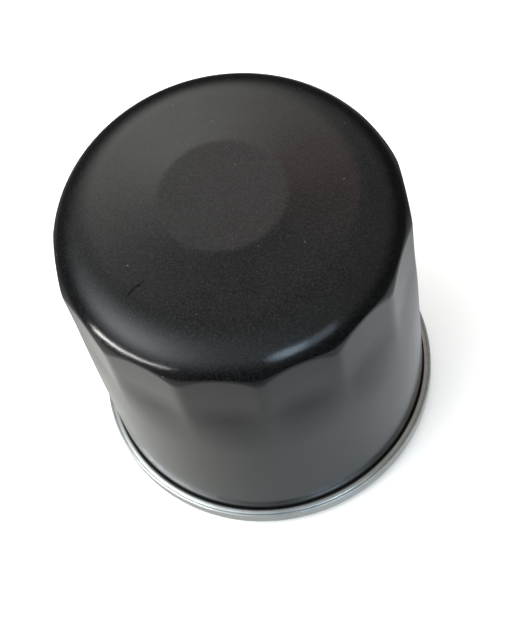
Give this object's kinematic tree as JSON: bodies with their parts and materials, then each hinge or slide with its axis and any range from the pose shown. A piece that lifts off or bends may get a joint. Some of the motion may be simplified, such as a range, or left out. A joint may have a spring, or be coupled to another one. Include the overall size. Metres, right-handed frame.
{
  "type": "spin-on oil filter",
  "caption": "Spin-on engine oil filter: domed steel can with wrench flats, seamed to a threaded base with a gasket, holding a sprung pleated element, a bypass valve and an anti-drainback valve.",
  "frame": {"origin": "centre of the gasket's sealing face, on the axis; the part stands on that face", "axes": "+Z along the axis from the threaded end to the dome; +X through the middle of a wrench flat"},
  "size_m": [0.0714, 0.0714, 0.074],
  "materials": {
    "can_paint": "satin black",
    "tinplate": "bright tinned sheet",
    "plate_steel": "oiled mill finish",
    "bright_steel": "bright stamping",
    "tube_steel": "rolled strip",
    "spring_steel": "drawn wire",
    "nitrile": "moulded, matt",
    "seam_compound": "dried compound",
    "potting": "cured adhesive",
    "filter_paper": "resin-treated paper"
  },
  "bodies": {
    "housing": {"canister": "can_paint", "retainer": "tinplate", "seam_sealant": "seam_compound", "base_plate": "plate_steel", "gasket": "nitrile", "drainback_collar": "nitrile", "element_spring": "spring_steel"},
    "drainback_skirt": {"drainback_lip": "nitrile"},
    "element": {"lower_end_cap": "tinplate", "lower_potting": "potting", "filter_media": "filter_paper", "media_clip": "bright_steel", "centre_tube": "tube_steel", "upper_potting": "potting", "upper_end_cap": "tinplate", "bypass_cage": "bright_steel", "bypass_spring": "spring_steel"},
    "bypass_valve": {"bypass_disc": "bright_steel", "bypass_stem": "bright_steel", "bypass_seal": "nitrile"}
  },
  "joints": [
    {"name": "element_float", "type": "slide", "parent": "housing", "child": "element", "axis": [0, 0, 1], "range_m": [0, 0.0015], "stiffness_N_per_m": 6000, "springref_m": -0.006, "deforming": ["element_spring"]},
    {"name": "bypass_open", "type": "slide", "parent": "element", "child": "bypass_valve", "axis": [0, 0, -1], "range_m": [0, 0.003], "stiffness_N_per_m": 2500, "springref_m": -0.004, "deforming": ["bypass_spring"]},
    {"name": "drainback_lift", "type": "slide", "parent": "housing", "child": "drainback_skirt", "axis": [0, 0, 1], "range_m": [0, 0.0015], "stiffness_N_per_m": 400, "springref_m": -0.001}
  ]
}
